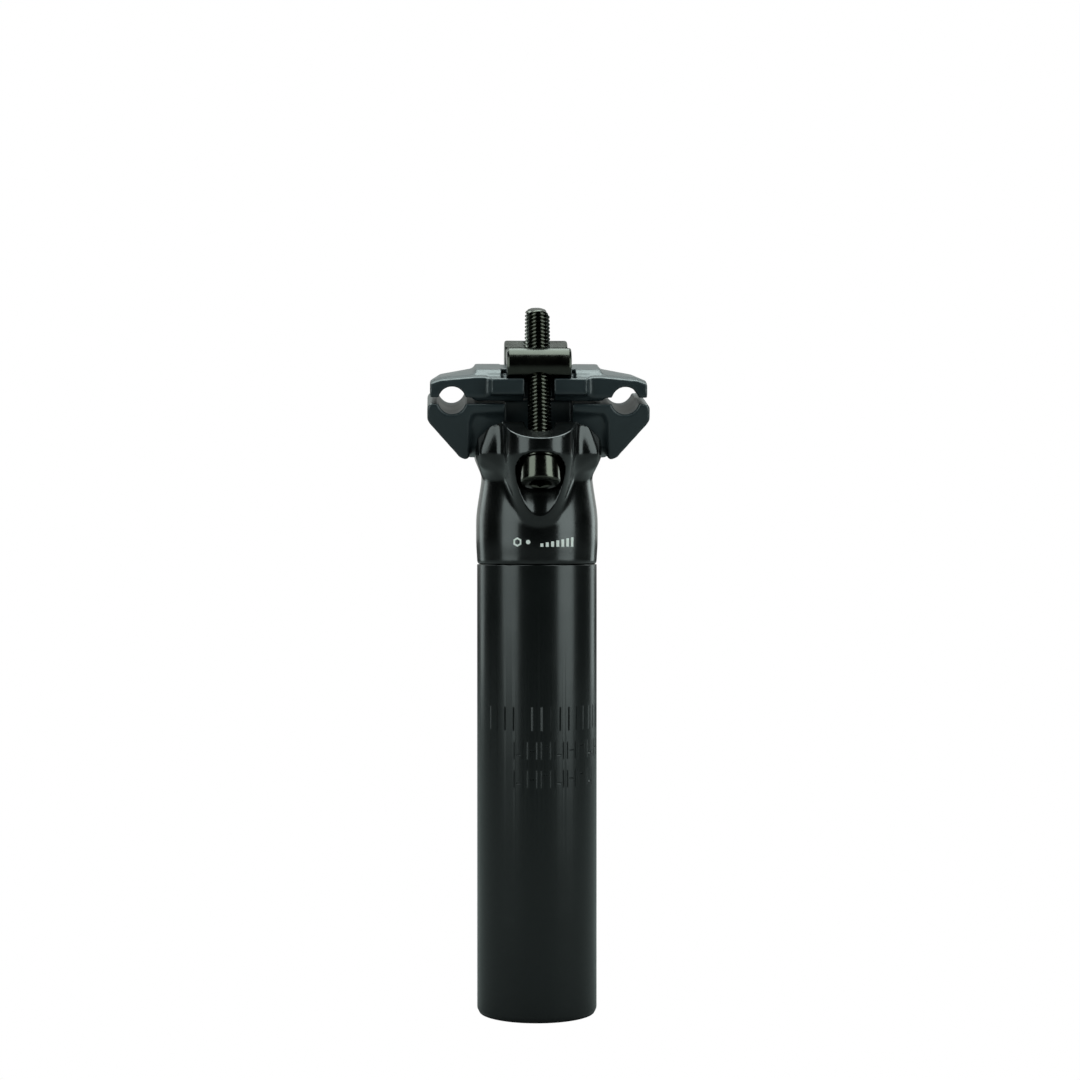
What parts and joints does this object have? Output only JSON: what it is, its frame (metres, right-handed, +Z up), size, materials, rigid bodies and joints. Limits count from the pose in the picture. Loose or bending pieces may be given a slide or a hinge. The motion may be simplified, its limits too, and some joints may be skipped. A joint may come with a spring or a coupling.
{
  "type": "seatpost",
  "caption": "Bicycle seatpost: a straight round tube with a forged head, on which a two-bolt clamp rocks to set the tilt of a saddle held by its rails.",
  "frame": {"origin": "centre of the tube's bottom end, on the tube's axis", "axes": "+Z up the tube to the saddle clamp, -Y towards the front of the bicycle, +X to the right seen from the front"},
  "size_m": [0.0566, 0.0506, 0.1824],
  "materials": {
    "tube_anodised": "satin black anodised",
    "head_painted": "satin black over a fine forged skin",
    "clamp_painted": "satin black, bead blasted",
    "bolt_steel": "black oxide",
    "nut_steel": "black oxide",
    "washer_steel": "black oxide"
  },
  "bodies": {
    "post": {"tube": "tube_anodised", "head": "head_painted"},
    "clamp": {"cradle": "clamp_painted", "upper_clamp": "clamp_painted"},
    "front_washer": {"front_washer": "washer_steel"},
    "rear_washer": {"rear_washer": "washer_steel"},
    "front_bolt": {"front_bolt": "bolt_steel"},
    "rear_bolt": {"rear_bolt": "bolt_steel"},
    "front_nut": {"front_nut": "nut_steel"},
    "rear_nut": {"rear_nut": "nut_steel"}
  },
  "joints": [
    {"name": "saddle_tilt", "type": "hinge", "parent": "post", "child": "clamp", "pos_m": [0, 0, 0.1595], "axis": [1, 0, 0], "range_deg": [-14, 6]},
    {"name": "front_bolt_swing", "type": "hinge", "parent": "post", "child": "front_washer", "pos_m": [0, -0.0208, 0.1363], "axis": [1, 0, 0], "range_deg": [-2, 1]},
    {"name": "rear_bolt_swing", "type": "hinge", "parent": "post", "child": "rear_washer", "pos_m": [0, 0.0208, 0.1393], "axis": [1, 0, 0], "range_deg": [-3, 1.5]},
    {"name": "front_bolt_turn", "type": "hinge", "parent": "front_washer", "child": "front_bolt", "pos_m": [0, -0.0208, 0.1363], "axis": [0, 0.3144, 0.9493], "range_deg": [-1100, 480]},
    {"name": "rear_bolt_turn", "type": "hinge", "parent": "rear_washer", "child": "rear_bolt", "pos_m": [0, 0.0208, 0.1393], "axis": [0, -0.3939, 0.9191], "range_deg": [-450, 1030]},
    {"name": "front_nut_pivot", "type": "hinge", "parent": "clamp", "child": "front_nut", "pos_m": [0, -0.01079, 0.16653], "axis": [1, 0, 0], "range_deg": [-6, 13]},
    {"name": "rear_nut_pivot", "type": "hinge", "parent": "clamp", "child": "rear_nut", "pos_m": [0, 0.00773, 0.1698], "axis": [1, 0, 0], "range_deg": [-6, 12.5]}
  ],
  "couplings": [
    {"joint": "front_bolt_swing", "follows": "saddle_tilt", "ratio": 0.1232},
    {"joint": "rear_bolt_swing", "follows": "saddle_tilt", "ratio": 0.1777},
    {"joint": "front_bolt_turn", "follows": "saddle_tilt", "ratio": 76.54},
    {"joint": "rear_bolt_turn", "follows": "saddle_tilt", "ratio": -72.09},
    {"joint": "front_nut_pivot", "follows": "saddle_tilt", "ratio": -0.8768},
    {"joint": "rear_nut_pivot", "follows": "saddle_tilt", "ratio": -0.8223}
  ]
}
